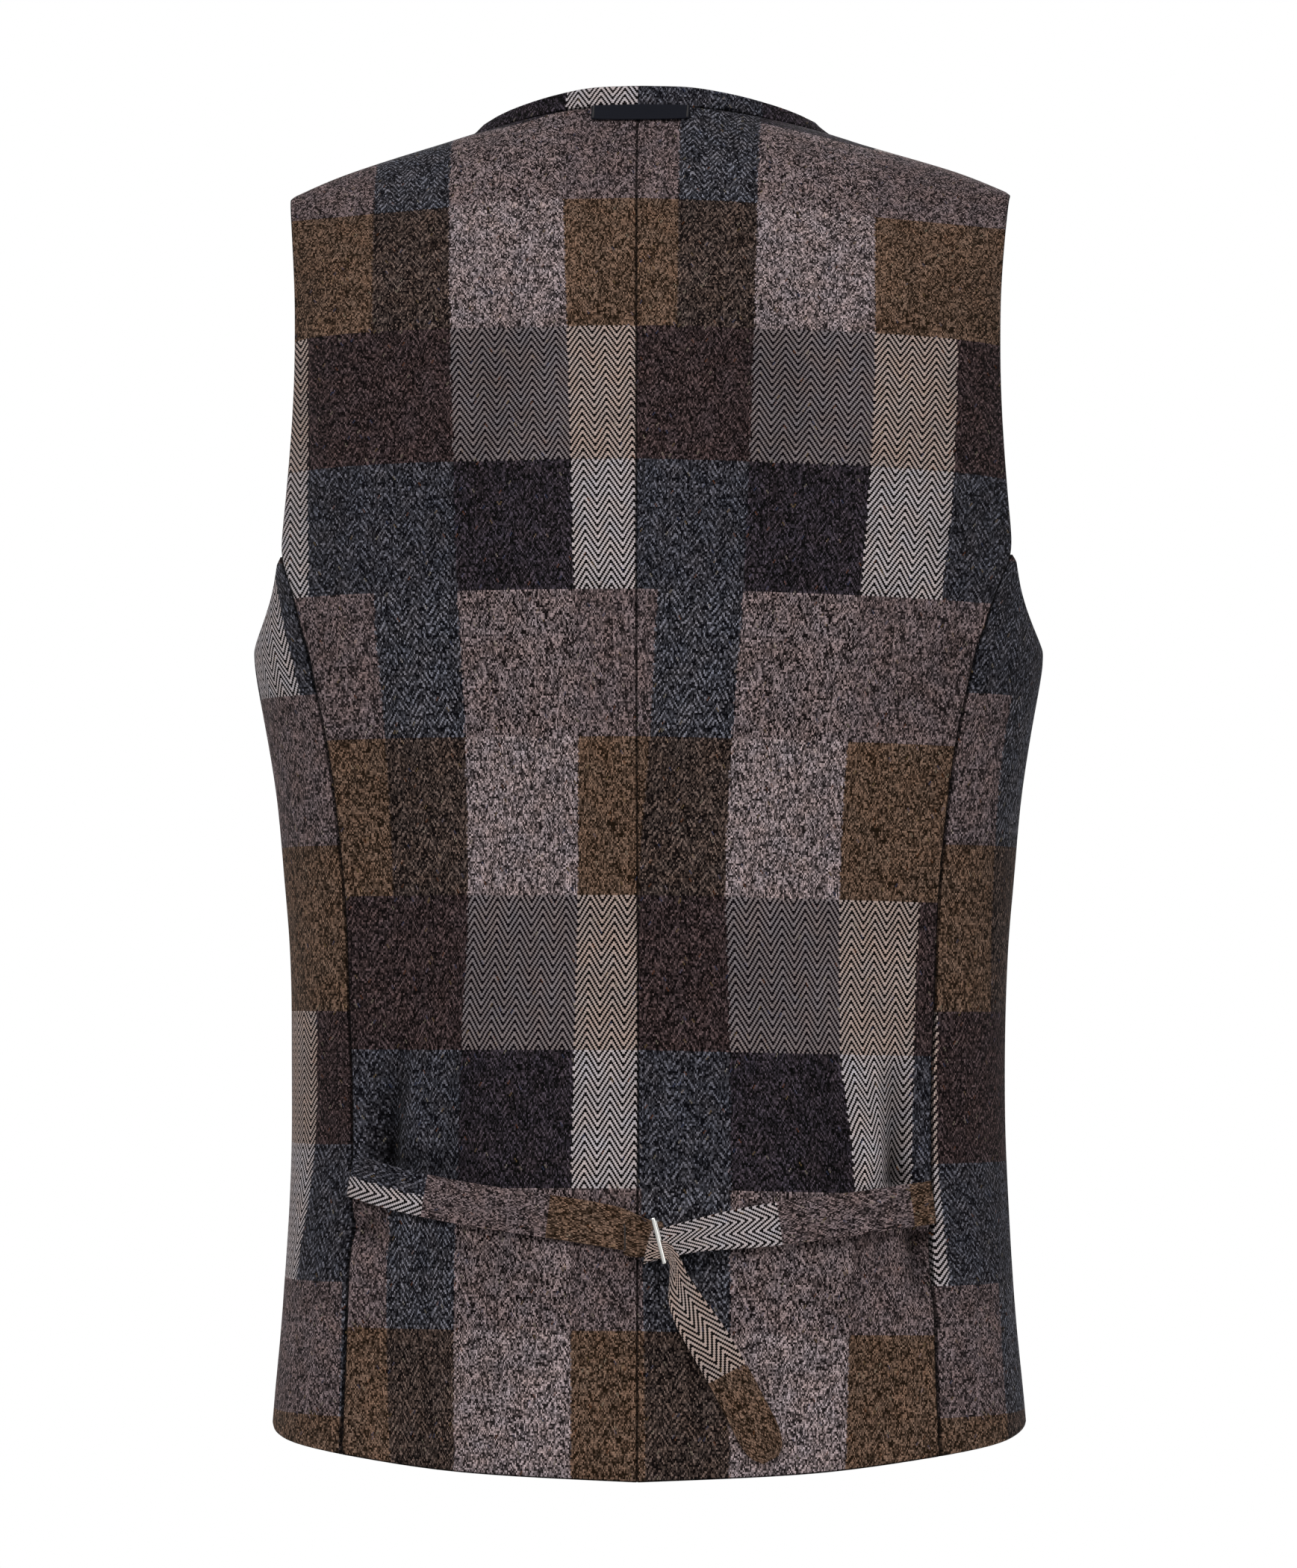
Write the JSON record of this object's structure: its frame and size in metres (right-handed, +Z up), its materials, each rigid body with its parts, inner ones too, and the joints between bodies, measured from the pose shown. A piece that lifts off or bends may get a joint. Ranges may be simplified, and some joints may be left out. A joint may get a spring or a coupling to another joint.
{
  "type": "suit waistcoat",
  "caption": "Sleeveless tailored tweed waistcoat in worn form, with a V neck, buttoned front, pointed hem and a belt with a slider buckle across the back.",
  "frame": {"origin": "midway between the wearer's shoulders, at the height where the garment bears on them", "axes": "+Z up, +X to the wearer's left, the wearer faces -Y"},
  "size_m": [0.3728, 0.2487, 0.6552],
  "materials": {
    "tweed": "matt woven wool, brown, grey and slate herringbone blocks",
    "label_cloth": "matt dark blue tape, blank",
    "buckle_metal": "bright plated",
    "button_horn": "dark brown horn look, satin"
  },
  "bodies": {
    "root": {"back_left": "tweed", "back_right": "tweed", "side_back_left": "tweed", "side_back_right": "tweed", "front_left": "tweed", "front_right": "tweed", "neck_band_left": "tweed", "neck_band_right": "tweed", "neck_label": "label_cloth", "belt_strap_left": "tweed", "belt_strap_right": "tweed", "buckle": "buckle_metal", "button_1": "button_horn", "button_2": "button_horn", "button_3": "button_horn", "button_4": "button_horn", "button_5": "button_horn"}
  },
  "joints": []
}
